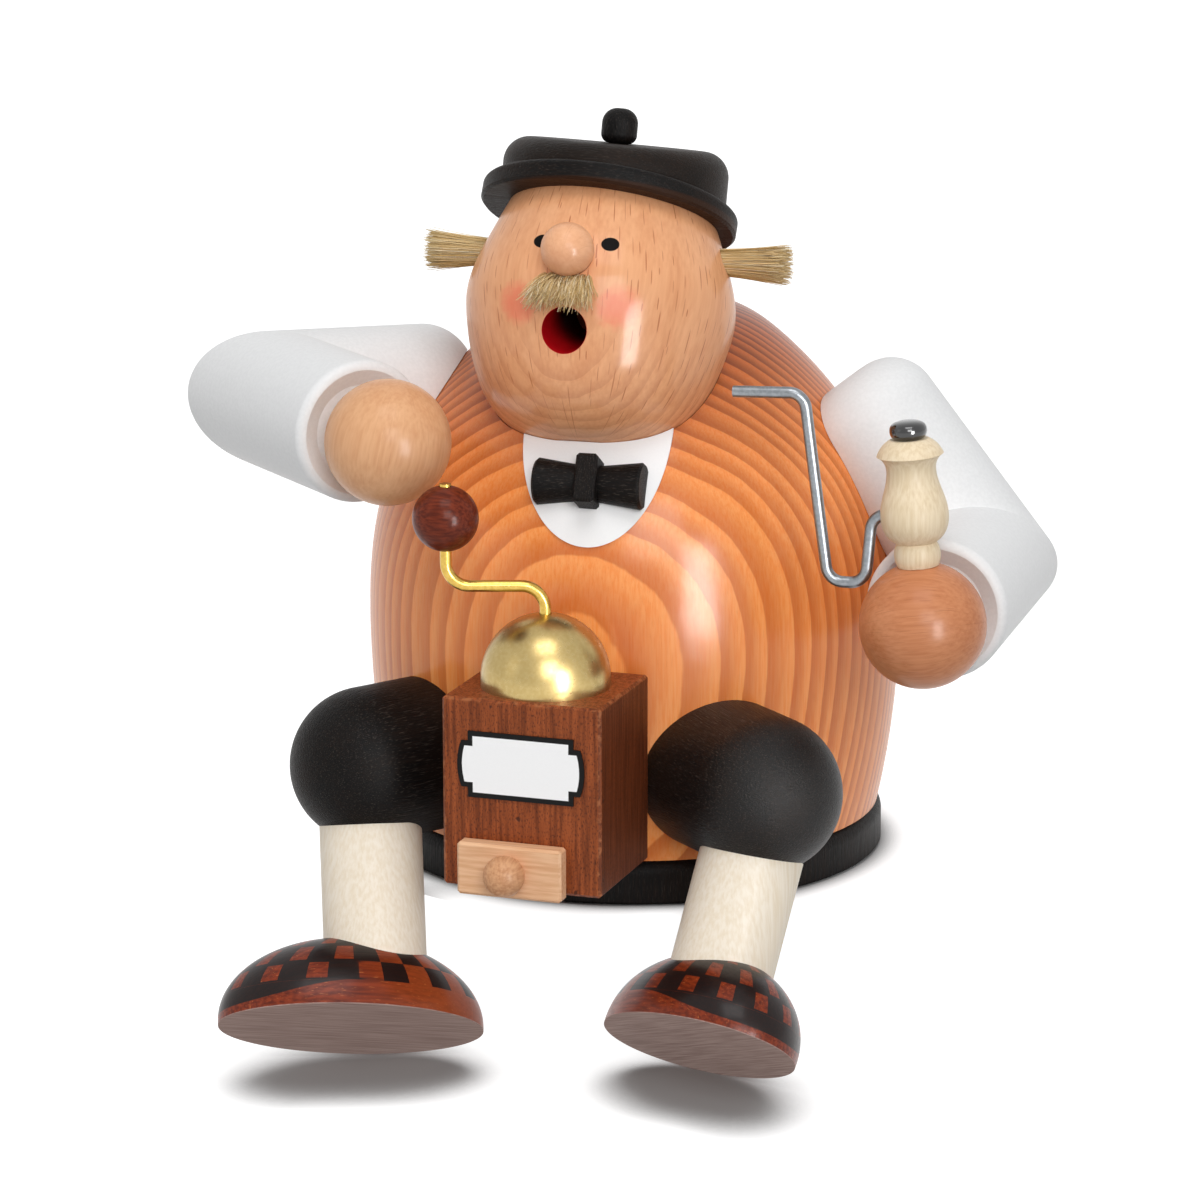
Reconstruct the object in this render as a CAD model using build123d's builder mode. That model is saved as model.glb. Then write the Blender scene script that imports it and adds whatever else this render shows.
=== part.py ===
"""German incense smoker: a seated, turned-wood figure with a pipe and a box coffee grinder.

Millimetres. The origin is the centre of the base's underside, +Z is up and the figure faces -Y.
Left and right are the figure's own: its right arm (at -X) works the crank, its left holds the pipe.
"""
import os
from math import acos, atan2, cos, degrees, hypot, pi, radians, sin, sqrt, tan

from build123d import *

os.makedirs("parts", exist_ok=True)

# Fits
glue_gap = 0.1        # glue line between curved faces
dowel_gap = 0.05      # radial room round a dowel, peg or wire in its hole
lift_gap = 0.3        # radial room between the base's spigot and the body's chamber
crank_gap = 0.06      # radial running fit of the crank in its dome
hole_end_gap = 0.3    # room beyond the end of a peg in a blind hole
hole_lead = 6.0       # how far outside a slanting face a dowel hole is begun
edge_break = 0.5      # sanded edges

# Base, with the burner dish that stays behind when the figure is lifted
base_radius = 49.0
base_height = 8.5
base_rim_round = 2.6
spigot_height = 5.0
dish_radius = 15.0
dish_height = 3.2
dish_wall = 0.6
dish_draft = 20.0
nail_radius = 0.9
nail_head_radius = 2.2
nail_head_height = 0.7
nail_length = 9.0

# Body: stations of the turned outline, as radius and height above the base's underside
body_foot_radius = 48.2
belly_radius = 52.2
belly_height = 42.0
chest_radius = 45.7
chest_height = 80.0
shoulder_radius = 28.9
shoulder_height = 101.0
body_top = 109.0
chamber_radius = 31.0
chamber_side = 34.0
chamber_dome = 23.0
air_hole_radius = 3.5
air_hole_height = 22.0

# Head, tipped back on its axis; heights along that axis from its centre
head_place = (0.0, -25.5, 109.5)
head_tilt = 27.0
head_radius = 25.0
head_wide_drop = 4.0
cheek_radius = 19.6
cheek_drop = 18.3
chin_radius = 6.0
chin_drop = 26.0
hat_seat_radius = 19.6
hat_seat_height = 19.0
hat_seat_spare = 1.2
mouth_radius = 4.3
mouth_height = 111.2
smoke_radius = 4.5

# Nose, hair and moustache
nose_radius = 5.0
nose_lift = 36.0
nose_stand = 3.0
nose_peg_radius = 2.0
nose_peg_length = 10.0
hair_height = 11.5
hair_radius = 2.6
hair_root = 4.0
hair_sink = 1.2
hair_length = 14.0
hair_flare = 1.45
hair_strands = 150
moustache_lift = 22.0
moustache_width = 9.0
moustache_height = 2.0
moustache_root = 2.3
moustache_proud = 0.5
moustache_length = 6.6
moustache_droop = 4.6
moustache_spread = 1.6
moustache_columns = 15
moustache_rows = 5
strand_radius = 0.13
strand_root = 0.4
strand_uneven = 0.12

# Hat
hat_roll = 2.6
hat_shift = -0.8
brim_radius = 24.6
brim_thickness = 4.0
brim_round = 1.2
crown_radius = 21.6
crown_height = 11.5
crown_tilt = 9.0
crown_roll = 3.0
crown_forward = 2.0
crown_round = 5.0
knob_radius = 3.45
knob_height = 6.8
knob_top_round = 2.9
knob_foot_round = 1.8
knob_peg_radius = 1.5
knob_peg_length = 4.0

# Shirt front and bow tie
shirt_turn = 4.5
shirt_half_width = 14.2
shirt_depth = 20.0
shirt_top = 90.0
shirt_tuck = 4.0
shirt_thickness = 0.4
bow_below_chin = 5.5
bow_stand = 1.0
bow_half_length = 10.4
bow_end_radius = 4.5
bow_waist_radius = 3.2
bow_slope = -3.5
knot_width = 4.2
knot_tall = 9.4
knot_stand = 4.9

# Arms: mitred dowels
arm_radius = 13.6
arm_shoulder_round = 9.0
cuff_round = 1.7
cuff_dish_depth = 1.8
cuff_dish_taper = 60.0
right_elbow = (-63.6, -27.2, 90.0)
right_arm_turn = 45.0
right_arm_dip = 3.0
right_upper_length = 40.0
right_forearm_length = 34.9
left_shoulder_height = 84.05
left_shoulder_back = 1.0
left_arm_stand = 4.76
left_arm_slope = 52.0
left_forearm_turn = 1.6
left_forearm_drop = 1.5
left_upper_length = 43.8
left_forearm_length = 36.8
left_dowel_place = 35.0
hand_radius = 11.85
dowel_radius = 4.0
shoulder_dowel_length = 22.0
wrist_dowel_length = 16.0

# Pipe: heights above the top of the hand it is pegged in
pipe_lean = 5.0
pipe_tenon_radius = 2.5
pipe_tenon_length = 6.0
ring_radius = 4.3
ring_height = 3.9
ring_sink = 0.8
pipe_neck_radius = 3.7
pipe_belly_radius = 6.2
pipe_belly_height = 10.4
pipe_waist_radius = 4.6
pipe_waist_height = 16.9
pipe_flare_radius = 6.2
pipe_flare_height = 20.4
pipe_top_radius = 3.6
pipe_top_height = 23.3
bead_radius = 3.5
bead_height = 3.5
bead_flat_radius = 2.6
wire_radius = 1.1
# Corners of the bent stem, sideways and upwards from the middle of the bowl's belly
stem_points = [(-34.3, 20.0), (-20.9, 20.4), (-16.1, -14.9), (-9.0, -14.9), (-7.9, -2.4), (-2.2, -0.6)]
stem_bend = 3.2

# Grinder
grinder_place = (0.3, -65.0)
grinder_turn = -4.0
grinder_width = 31.0
grinder_depth = 27.0
grinder_bottom = 11.0
grinder_height = 36.0
grinder_dowel_height = 29.0
grinder_dowel_length = 18.0
dome_radius = 12.1
dome_straight = 1.6
label_width = 24.8
label_tall = 12.6
label_height = 34.6
label_bulge = 0.8
label_step = 1.3
label_notch = 1.9
label_thickness = 0.35
drawer_width = 20.4
drawer_tall = 10.0
drawer_thickness = 3.5
drawer_hang = 0.6
drawer_shift = -1.3
drawer_knob_radius = 3.85
drawer_knob_stand = 2.4
drawer_peg_radius = 1.5
drawer_peg_length = 2.8

# Crank
crank_depth = 8.0
crank_rise = 5.2
crank_throw = 18.3
crank_angle = 195.0
crank_bend = 4.4
crank_post = 12.8
crank_knob_radius = 6.15
crank_tip = 0.4

# Legs
thigh_radius = 15.0
knee_turn = 36.5
right_thigh_turn = 36.5
left_thigh_turn = 45.0
thigh_height = 25.4
knee_reach = 65.0
knee_drop = 10.8
shin_radius = 9.75
shin_lean = 24.0
shin_inward = 9.0
shin_set_back = 2.4
shin_outward = 2.1
right_shin_length = 30.6
left_shin_length = 28.1
shin_tenon_radius = 5.0
shin_tenon_length = 7.0
hip_dowel_length = 26.0
shoe_lean = 34.0
shoe_inward = 10.5
shoe_length = 51.0
shoe_radius = 16.3
shoe_axis_height = 1.0
right_shoe_forward = 5.2
left_shoe_forward = -1.5
shoe_socket_floor = 9.3
right_toe_turn = 55.0
left_toe_turn = 32.0


def keep(builder, name):
    """label a finished piece and write it"""
    builder.part.label = name
    export_step(builder.part, f"parts/{name}.step")


def body_edge(grow=0.0):
    """the turned outline of the body from foot to crown, grown outwards by grow"""
    return Spline(
        (body_foot_radius + grow, base_height),
        (belly_radius + grow, belly_height),
        (chest_radius + grow, chest_height + grow / 2),
        (shoulder_radius + grow, shoulder_height + grow),
        (0, body_top + grow),
        tangents=[(0.22, 1), (-1, 0)],
    )


def head_edge(grow=0.0):
    """the turned outline of the head from chin to hat seat, grown outwards by grow"""
    return Spline(
        (chin_radius + grow, -chin_drop - grow),
        (cheek_radius + grow, -cheek_drop - grow),
        (head_radius + grow, -head_wide_drop),
        (hat_seat_radius + grow, hat_seat_height + hat_seat_spare),
        tangents=[(1, 0.15), (-0.42, 1)],
    )


def turn_body(grow=0.0, mode=Mode.ADD):
    """the body's turned form without its hollows"""
    with BuildSketch(body_section) as section:
        with BuildLine():
            side = body_edge(grow)
            Polyline(side @ 1, (0, base_height), side @ 0)
        make_face()
    revolve(section.sketch, axis=Axis.Z, mode=mode)


def turn_head(grow=0.0, mode=Mode.ADD):
    """the head's turned form about its tipped axis, without its hollows"""
    with BuildSketch(head_section) as section:
        with BuildLine():
            side = head_edge(grow)
            Polyline(side @ 1, (0, hat_seat_height + hat_seat_spare), (0, -chin_drop - grow), side @ 0)
        make_face()
    revolve(section.sketch, axis=head_axis, mode=mode)


def outline_at(edge, height):
    """radius of a turned outline at a height, and how far its outside faces upwards in degrees"""
    low, high = 0.0, 1.0
    for _ in range(40):
        middle = (low + high) / 2
        if (edge @ middle).Y < height:
            low = middle
        else:
            high = middle
    along = edge % low
    return (edge @ low).X, degrees(atan2(-along.X, along.Y))


def where_body_meets(start, along, reach):
    """the point where a line from outside the body passes its surface"""
    low, high = 0.0, reach
    for _ in range(40):
        middle = (low + high) / 2
        point = start + along * middle
        if hypot(point.X, point.Y) > outline_at(body_side, point.Z)[0]:
            low = middle
        else:
            high = middle
    return start + along * low


def peg(origin, along, length, radius, mode=Mode.ADD):
    """a round peg that starts at a point and runs along a direction"""
    with BuildSketch(Plane(origin, z_dir=along)) as section:
        Circle(radius)
    extrude(section.sketch, amount=length, mode=mode)


def bore(origin, along, depth, radius):
    """a drilled hole that starts at a point and runs along a direction"""
    peg(origin, along, depth, radius, Mode.SUBTRACT)


def glue_dowel(middle, along, length):
    """a plain dowel with broken ends, centred on a point"""
    peg(middle - along * (length / 2), along, length, dowel_radius)
    chamfer(faces().filter_by(GeomType.PLANE).edges(), length=edge_break)


def dowel_hole(middle, along, length):
    """the half of a dowel's hole that lies ahead of its middle"""
    depth = hole_lead + length / 2 + hole_end_gap
    bore(middle - along * hole_lead, along, depth, dowel_radius + dowel_gap)


def wire(plane, points, bend):
    """a wire bent through the points of a plane"""
    with BuildLine(plane) as route:
        FilletPolyline(*points, radius=bend)
    with BuildSketch(Plane(route.line @ 0, z_dir=route.line % 0)) as section:
        Circle(wire_radius)
    sweep(section.sketch, path=route.line)


def mitred_dowel(elbow, along, other, length, end_round):
    """one half of an arm, from its mitred elbow to its rounded end"""
    overrun = arm_radius / tan(acos(along.dot(other)) / 2) + edge_break
    peg(elbow - along * overrun, along, overrun + length, arm_radius)
    far_end = faces().filter_by(GeomType.PLANE).sort_by(Axis(elbow, along))[-1]
    fillet(far_end.edges(), radius=end_round)
    split(bisect_by=Plane(elbow, z_dir=along - other), keep=Keep.TOP)


def leaning_down(sign, lean, inward):
    """a downward direction that leans forwards and towards the middle"""
    lean, inward = radians(lean), radians(inward)
    return Vector(-sign * sin(inward), -sin(lean) * cos(inward), -cos(lean) * cos(inward))


def bristles(plane, places, length):
    """separate strands: each place gives a root and a tip in the plane's own directions"""
    strands = []
    for number, (root, tip) in enumerate(places):
        root_point = plane.from_local_coords(Vector(*root))
        along = (plane.from_local_coords(Vector(*tip)) - root_point).normalized()
        with BuildSketch(Plane(root_point, z_dir=along)) as section:
            RegularPolygon(strand_radius, 4)
        reach = length * (1 - strand_uneven * (number % 5) / 5)
        strands += extrude(section.sketch, amount=reach, mode=Mode.PRIVATE).solids()
    return strands


# Frames and places that several pieces share
up = Vector(0, 0, 1)
body_section = Plane((0, 0, 0), x_dir=(1, 1, 0), z_dir=(1, -1, 0))
tilt = radians(head_tilt)
head_centre = Vector(*head_place)
head_up = Vector(0, sin(tilt), cos(tilt))
head_section = Plane(head_centre, x_dir=(0, cos(tilt), -sin(tilt)), z_dir=(1, 0, 0))
head_axis = Axis(head_centre, head_up)
with BuildLine():
    body_side = body_edge()
with BuildLine():
    head_side = head_edge()

dish_floor = base_height + spigot_height
chamber_spring = base_height + chamber_side
chamber_top = chamber_spring + chamber_dome
hat_up = Vector(tan(radians(hat_roll)), head_up.Y, head_up.Z).normalized()
hat_seat = head_centre + head_up * hat_seat_height + Vector(hat_shift, 0, 0)
hat_plane = Plane(hat_seat, x_dir=(hat_up.Z, 0, -hat_up.X), z_dir=hat_up)
hat_axis = Axis(hat_seat, hat_up)
brim_top = hat_seat + hat_up * brim_thickness

right_level = Vector(sin(radians(right_arm_turn)), cos(radians(right_arm_turn)), 0)
right_upper = (right_level - up * tan(radians(right_arm_dip))).normalized()
right_fore = right_level.cross(up)
left_upper = Vector(-cos(radians(left_arm_slope)), 0, sin(radians(left_arm_slope)))
left_fore = Vector(-tan(radians(left_forearm_turn)), -1, -tan(radians(left_forearm_drop))).normalized()
left_inward = Vector(-left_upper.Z, 0, left_upper.X)
left_body_radius = outline_at(body_side, left_shoulder_height)[0]
left_shoulder_out = sqrt(left_body_radius**2 - left_shoulder_back**2)
left_shoulder = Vector(left_shoulder_out, left_shoulder_back, left_shoulder_height)
left_elbow = left_shoulder - left_inward * left_arm_stand - left_upper * left_dowel_place
arms = {
    "right": (Vector(*right_elbow), right_upper, right_fore, right_upper_length, right_forearm_length),
    "left": (left_elbow, left_upper, left_fore, left_upper_length, left_forearm_length),
}
hand_seat = hand_radius + glue_gap - cuff_dish_depth
hands = {side: elbow + fore * (length + hand_seat) for side, (elbow, _, fore, _, length) in arms.items()}

shoulders = {
    "right": (where_body_meets(arms["right"][0], right_upper, right_upper_length), right_upper),
    "left": (left_shoulder, left_inward),
}

pipe_up = Vector(-sin(radians(pipe_lean)), 0, cos(radians(pipe_lean)))
pipe_foot = hands["left"] + pipe_up * hand_radius
pipe_axis = Axis(pipe_foot, pipe_up)
pipe_section = Plane(pipe_foot, x_dir=(pipe_up.Z, 0, -pipe_up.X), z_dir=(0, -1, 0))
pipe_belly = pipe_foot + pipe_up * pipe_belly_height
stem_plane = Plane(pipe_belly, x_dir=(1, 0, 0), z_dir=(0, -1, 0))

grinder_centre = Vector(*grinder_place, 0)
grinder_top = grinder_bottom + grinder_height
grinder_side = Vector(cos(radians(grinder_turn)), sin(radians(grinder_turn)), 0)
grinder_back = up.cross(grinder_side)
grinder_face = grinder_centre - grinder_back * (grinder_depth / 2)
grinder_pin_start = grinder_centre + up * grinder_dowel_height
grinder_pin_along = Vector(0, 1, 0)
grinder_pin = where_body_meets(grinder_pin_start, grinder_pin_along, -grinder_centre.Y)
dome_top = grinder_centre + up * (grinder_top + dome_straight + dome_radius)

hip_middle = Vector(0, 0, thigh_height)
legs = {}
for side, sign, thigh_turn, toe_turn, shin_length, shoe_forward in (
    ("right", -1, right_thigh_turn, right_toe_turn, right_shin_length, right_shoe_forward),
    ("left", 1, left_thigh_turn, left_toe_turn, left_shin_length, left_shoe_forward),
):
    out = Vector(sign * sin(radians(thigh_turn)), -cos(radians(thigh_turn)), 0)
    knee_out = Vector(sign * sin(radians(knee_turn)), -cos(radians(knee_turn)), 0)
    down = leaning_down(sign, shin_lean, shin_inward)
    under = leaning_down(sign, shoe_lean, shoe_inward)
    toe = Vector(sign * sin(radians(toe_turn)), -cos(radians(toe_turn)), 0)
    toe_along = (toe - under * toe.dot(under)).normalized()
    knee = hip_middle + knee_out * knee_reach
    hip = where_body_meets(knee, -out, knee_reach)
    shin_offset = Vector(sign * shin_outward, 0, 0) - knee_out * shin_set_back
    shin_top = knee + shin_offset + down * (knee_drop - shin_offset.dot(down))
    shin_end = shin_top + down * shin_length
    shoe_middle = shin_end + down * shoe_socket_floor - under * shoe_axis_height + toe_along * shoe_forward
    legs[side] = (out, down, under, toe_along, knee, hip, shin_top, shin_end, shoe_middle)

# Base and burner dish
with BuildPart() as base_plate:
    Cylinder(base_radius, base_height, align=(Align.CENTER, Align.CENTER, Align.MIN))
    fillet(base_plate.edges().sort_by(Axis.Z)[-1], radius=base_rim_round)
    chamfer(base_plate.edges().sort_by(Axis.Z)[0], length=edge_break)
    with BuildSketch(Plane.XY.offset(base_height)):
        Circle(chamber_radius - lift_gap)
    extrude(amount=spigot_height)
    chamfer(base_plate.edges().sort_by(Axis.Z)[-1], length=edge_break)
    bore((0, 0, dish_floor), -up, nail_length, nail_radius + dowel_gap)
keep(base_plate, "base_plate")

with BuildPart() as incense_plate:
    with BuildSketch(Plane.XY.offset(dish_floor)):
        Circle(dish_radius)
    extrude(amount=dish_height, taper=-dish_draft)
    with BuildSketch(Plane.XY.offset(dish_floor + dish_wall)):
        Circle(dish_radius - dish_wall)
    extrude(amount=dish_height, taper=-dish_draft, mode=Mode.SUBTRACT)
    bore((0, 0, dish_floor), up, dish_height, nail_radius + dowel_gap)
keep(incense_plate, "incense_plate")

with BuildPart() as plate_nail:
    peg((0, 0, dish_floor + dish_wall), up, nail_head_height, nail_head_radius)
    peg((0, 0, dish_floor + dish_wall), -up, nail_length - hole_end_gap, nail_radius)
keep(plate_nail, "plate_nail")

# Body: turned, hollowed for the smoke and bored for what is pegged to it
with BuildPart() as body:
    turn_body()
    with BuildSketch(Plane.XZ):
        with BuildLine():
            Polyline((0, base_height), (chamber_radius, base_height), (chamber_radius, chamber_spring))
            EllipticalCenterArc((0, chamber_spring), chamber_radius, chamber_dome, start_angle=0, arc_size=90)
            Line((0, chamber_top), (0, base_height))
        make_face()
    revolve(axis=Axis.Z, mode=Mode.SUBTRACT)
    turn_head(glue_gap, Mode.SUBTRACT)
    bore((0, head_centre.Y, chamber_spring), up, mouth_height - chamber_spring, smoke_radius)
    bore((0, 0, air_hole_height), (0, 1, 0), base_radius * 2, air_hole_radius)
    for middle, along in shoulders.values():
        dowel_hole(middle, along, shoulder_dowel_length)
    dowel_hole(grinder_pin, grinder_pin_along, grinder_dowel_length)
    for out, _, _, _, _, hip, _, _, _ in legs.values():
        dowel_hole(hip, -out, hip_dowel_length)
keep(body, "body")

# Head and nose
nose_out = Vector(0, -cos(radians(nose_lift)), sin(radians(nose_lift)))
nose_centre = head_centre + nose_out * (head_radius + nose_stand)
lip_out = Vector(0, -cos(radians(moustache_lift)), sin(radians(moustache_lift)))
lip_plane = Plane(head_centre + lip_out * (head_radius + moustache_proud), x_dir=(1, 0, 0), z_dir=lip_out)
hair_middle = head_centre + head_up * hair_height
hair_surface = outline_at(head_side, hair_height)[0] - hair_sink
hair_sides = {"right": Vector(-1, 0, 0), "left": Vector(1, 0, 0)}
smoke_start = Vector(0, head_centre.Y, chamber_top)

with BuildPart() as head:
    turn_head()
    split(bisect_by=hat_plane, keep=Keep.BOTTOM)
    bore(smoke_start, up, mouth_height + mouth_radius - chamber_top, smoke_radius)
    bore((0, head_centre.Y, mouth_height), (0, -1, 0), head_radius * 2, mouth_radius)
    with Locations(nose_centre):
        Sphere(nose_radius + glue_gap, mode=Mode.SUBTRACT)
    bore(nose_centre, -nose_out, nose_peg_length + hole_end_gap, nose_peg_radius + dowel_gap)
    for outward in hair_sides.values():
        hole_floor = hair_middle + outward * (hair_surface - hair_root - hole_end_gap)
        bore(hole_floor, outward, head_radius, hair_radius + dowel_gap)
    with BuildSketch(lip_plane.offset(-moustache_root - hole_end_gap)):
        Rectangle(moustache_width + dowel_gap * 2, moustache_height + dowel_gap * 2)
    extrude(amount=moustache_root * 2, mode=Mode.SUBTRACT)
keep(head, "head")

with BuildPart() as nose:
    with Locations(nose_centre):
        Sphere(nose_radius)
    peg(nose_centre, -nose_out, nose_peg_length, nose_peg_radius)
keep(nose, "nose")

# Hair and moustache: bunches of strands set in a plug
golden_turn = pi * (3 - sqrt(5))
hair_places = []
for number in range(hair_strands):
    spread = (hair_radius - strand_radius * 2) * sqrt((number + 0.5) / hair_strands)
    x = spread * cos(number * golden_turn)
    y = spread * sin(number * golden_turn)
    hair_places.append(((x, y, -strand_root), (x * hair_flare, y * hair_flare, hair_length)))
for side, outward in hair_sides.items():
    hair_plane = Plane(hair_middle + outward * hair_surface, x_dir=(0, 1, 0), z_dir=outward)
    with BuildPart() as hair:
        peg(hair_plane.origin - outward * hair_root, outward, hair_root, hair_radius)
        add(bristles(hair_plane, hair_places, hair_length + strand_root))
    keep(hair, f"{side}_hair_tuft")

moustache_places = []
for column in range(moustache_columns):
    for row in range(moustache_rows):
        x = ((column + 0.5) / moustache_columns - 0.5) * moustache_width
        y = ((row + 0.5) / moustache_rows - 0.5) * moustache_height
        tip = (x * moustache_spread, y * moustache_spread - moustache_droop, moustache_length)
        moustache_places.append(((x, y, -strand_root), tip))
with BuildPart() as moustache:
    with BuildSketch(lip_plane.offset(-moustache_root)):
        Rectangle(moustache_width, moustache_height)
    extrude(amount=moustache_root)
    add(bristles(lip_plane, moustache_places, moustache_length + strand_root))
keep(moustache, "moustache")

# Hat: a brim disc, a crown sawn off aslant, and a bead
crown_up = Vector(tan(radians(crown_roll)), tan(radians(crown_tilt)), 1).normalized()
crown_middle = brim_top + hat_up * crown_height - Vector(0, crown_forward, 0)
crown_plane = Plane(crown_middle, x_dir=(1, 0, 0), z_dir=crown_up)
crown_axis = Axis(crown_middle, crown_up)

with BuildPart() as hat_brim:
    with BuildSketch(hat_plane):
        Circle(brim_radius)
    extrude(amount=brim_thickness)
    fillet(hat_brim.edges().sort_by(hat_axis)[-1], radius=brim_round)
    chamfer(hat_brim.edges().sort_by(hat_axis)[0], length=edge_break)
keep(hat_brim, "hat_brim")

with BuildPart() as hat_crown:
    with BuildSketch(crown_plane):
        Circle(crown_radius)
    extrude(amount=-crown_height - crown_radius)
    fillet(hat_crown.edges().sort_by(crown_axis)[-1], radius=crown_round)
    split(bisect_by=Plane(brim_top, z_dir=hat_up), keep=Keep.TOP)
    bore(crown_middle, -crown_up, knob_peg_length + hole_end_gap, knob_peg_radius + dowel_gap)
keep(hat_crown, "hat_crown")

with BuildPart() as hat_knob:
    with BuildSketch(crown_plane):
        Circle(knob_radius)
    extrude(amount=knob_height)
    fillet(hat_knob.edges().sort_by(crown_axis)[-1], radius=knob_top_round)
    fillet(hat_knob.edges().sort_by(crown_axis)[0], radius=knob_foot_round)
    peg(crown_middle + crown_up * (knob_height / 2), -crown_up, knob_height / 2 + knob_peg_length, knob_peg_radius)
keep(hat_knob, "hat_knob")

# Shirt front and bow tie, glued on the belly
shirt_side = Vector(cos(radians(shirt_turn)), sin(radians(shirt_turn)), 0)
shirt_out = shirt_side.cross(up)
shirt_plane = Plane((0, 0, 0), x_dir=shirt_side, z_dir=shirt_out)

with BuildPart() as shirt_front:
    turn_body(glue_gap + shirt_thickness)
    turn_body(glue_gap, Mode.SUBTRACT)
    with BuildSketch(shirt_plane):
        with Locations((0, shirt_top)):
            Ellipse(shirt_half_width, shirt_depth)
        with Locations((0, shirt_top + shirt_tuck)):
            Rectangle(shirt_half_width * 2, shirt_depth, align=(Align.CENTER, Align.MIN), mode=Mode.SUBTRACT)
    extrude(amount=base_radius * 2, mode=Mode.INTERSECT)
    turn_head(glue_gap, Mode.SUBTRACT)
keep(shirt_front, "shirt_front")

bow_height = (head_centre - head_up * chin_drop).Z - bow_below_chin
bow_radius, bow_facing = outline_at(body_side, bow_height)
bow_out = shirt_out * cos(radians(bow_facing)) + up * sin(radians(bow_facing))
bow_middle = shirt_out * bow_radius + up * bow_height + bow_out * bow_stand
bow_plane = Plane(bow_middle, x_dir=shirt_side, z_dir=bow_out).rotated((0, 0, bow_slope))
bow_along = bow_plane.x_dir
bow_seat = shirt_thickness + glue_gap * 2

with BuildPart() as bow_tie:
    with BuildSketch(bow_plane):
        with BuildLine():
            Polyline((-bow_half_length, 0), (-bow_half_length, bow_end_radius), (0, bow_waist_radius),
                     (bow_half_length, bow_end_radius), (bow_half_length, 0), close=True)
        make_face()
    revolve(axis=Axis(bow_middle, bow_along))
    chamfer(bow_tie.edges().filter_by(GeomType.CIRCLE).group_by(SortBy.RADIUS)[-1], length=edge_break)
    turn_body(bow_seat, Mode.SUBTRACT)
keep(bow_tie, "bow_tie")

knot_flare = (bow_end_radius - bow_waist_radius) * knot_width / 2 / bow_half_length
with BuildPart() as bow_tie_knot:
    with BuildSketch(bow_plane):
        Rectangle(knot_width, knot_tall)
    extrude(amount=knot_stand, both=True)
    chamfer(bow_tie_knot.edges(), length=edge_break)
    bore(bow_middle - bow_along * knot_width, bow_along, knot_width * 2, bow_waist_radius + knot_flare + glue_gap)
    turn_body(bow_seat, Mode.SUBTRACT)
keep(bow_tie_knot, "bow_tie_knot")

# Arms, hands and their dowels
for side, (elbow, upper, fore, upper_length, forearm_length) in arms.items():
    shoulder, into_body = shoulders[side]
    wrist = elbow + fore * (forearm_length - cuff_dish_depth)
    with BuildPart() as upper_arm:
        mitred_dowel(elbow, upper, fore, upper_length, arm_shoulder_round)
        turn_body(glue_gap, Mode.SUBTRACT)
        dowel_hole(shoulder, -into_body, shoulder_dowel_length)
    keep(upper_arm, f"{side}_upper_arm")

    with BuildPart() as forearm:
        mitred_dowel(elbow, fore, upper, forearm_length, cuff_round)
        with BuildSketch(Plane(elbow + fore * forearm_length, z_dir=-fore)):
            Circle(arm_radius - cuff_round)
        extrude(amount=cuff_dish_depth, taper=cuff_dish_taper, mode=Mode.SUBTRACT)
        dowel_hole(wrist, -fore, wrist_dowel_length)
    keep(forearm, f"{side}_forearm")

    with BuildPart() as hand:
        with Locations(hands[side]):
            Sphere(hand_radius)
        dowel_hole(wrist, fore, wrist_dowel_length)
        if side == "left":
            tenon_depth = pipe_tenon_length + hole_end_gap
            bore(pipe_foot - pipe_up * tenon_depth, pipe_up, hand_radius, pipe_tenon_radius + dowel_gap)
    keep(hand, f"{side}_hand")

    with BuildPart() as shoulder_dowel:
        glue_dowel(shoulder, into_body, shoulder_dowel_length)
    keep(shoulder_dowel, f"{side}_shoulder_dowel")

    with BuildPart() as wrist_dowel:
        glue_dowel(wrist, fore, wrist_dowel_length)
    keep(wrist_dowel, f"{side}_wrist_dowel")

# Pipe in the left hand
with BuildPart() as pipe_bowl:
    with BuildSketch(pipe_section):
        with BuildLine():
            Line((0, -ring_sink), (pipe_neck_radius, -ring_sink))
            ThreePointArc((pipe_neck_radius, -ring_sink), (ring_radius, ring_height / 2),
                          (pipe_neck_radius, ring_height))
            Spline((pipe_neck_radius, ring_height), (pipe_belly_radius, pipe_belly_height),
                   (pipe_waist_radius, pipe_waist_height), (pipe_flare_radius, pipe_flare_height),
                   tangents=[(1, 0.5), (1, 0.6)])
            Spline((pipe_flare_radius, pipe_flare_height), (pipe_top_radius, pipe_top_height),
                   tangents=[(-0.4, 1), (-1, 0.5)])
            Polyline((pipe_top_radius, pipe_top_height), (0, pipe_top_height), (0, -ring_sink))
        make_face()
    revolve(axis=pipe_axis)
    with Locations(hands["left"]):
        Sphere(hand_radius + glue_gap, mode=Mode.SUBTRACT)
    peg(pipe_belly, -pipe_up, pipe_belly_height + pipe_tenon_length, pipe_tenon_radius)
    stem_end = stem_plane.from_local_coords(Vector(*stem_points[-1]))
    stem_turn = stem_plane.from_local_coords(Vector(*stem_points[-2]))
    stem_into = (stem_end - stem_turn).normalized()
    bore(stem_turn, stem_into, (stem_end - stem_turn).length + hole_end_gap, wire_radius + dowel_gap)
keep(pipe_bowl, "pipe_bowl")

with BuildPart() as pipe_stem:
    wire(stem_plane, stem_points, stem_bend)
keep(pipe_stem, "pipe_stem")

with BuildPart() as pipe_bead:
    with BuildSketch(pipe_section):
        with BuildLine():
            Line((0, pipe_top_height), (bead_flat_radius, pipe_top_height))
            Spline((bead_flat_radius, pipe_top_height), (bead_radius, pipe_top_height + bead_height / 2),
                   (0, pipe_top_height + bead_height), tangents=[(1, 0.6), (-1, 0)])
            Line((0, pipe_top_height + bead_height), (0, pipe_top_height))
        make_face()
    revolve(axis=pipe_axis)
keep(pipe_bead, "pipe_bead")

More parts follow.
